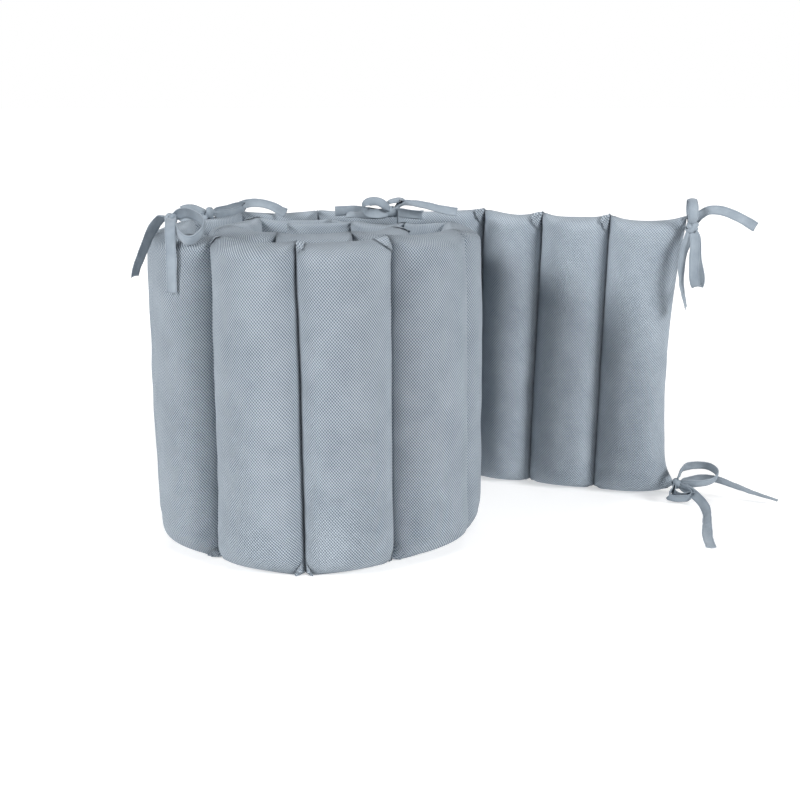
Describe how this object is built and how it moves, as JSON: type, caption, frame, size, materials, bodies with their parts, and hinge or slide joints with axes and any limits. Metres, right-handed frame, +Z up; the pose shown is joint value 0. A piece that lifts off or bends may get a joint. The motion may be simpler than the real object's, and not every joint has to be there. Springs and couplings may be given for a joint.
{
  "type": "crib bumper",
  "caption": "Padded crib bumper strip in upright sewn channels, stood on its long edge and wound into a loose roll with a straight tail and knotted tape ties.",
  "frame": {"origin": "middle of the object's box, at the surface it stands on", "axes": "+X from the roll towards the tail's free end, +Y from the roll's front to its back, +Z up"},
  "size_m": [0.6486, 0.3309, 0.3225],
  "materials": {
    "waffle_cotton": "matt waffle weave cotton, blue grey",
    "cotton_tape": "matt plain woven cotton tape, blue grey"
  },
  "bodies": {
    "root": {"bumper_pad": "waffle_cotton", "tie_front_left": "cotton_tape", "tie_back_left": "cotton_tape", "tie_back_right": "cotton_tape", "tie_end_top": "cotton_tape", "tie_end_bottom": "cotton_tape"}
  },
  "joints": []
}
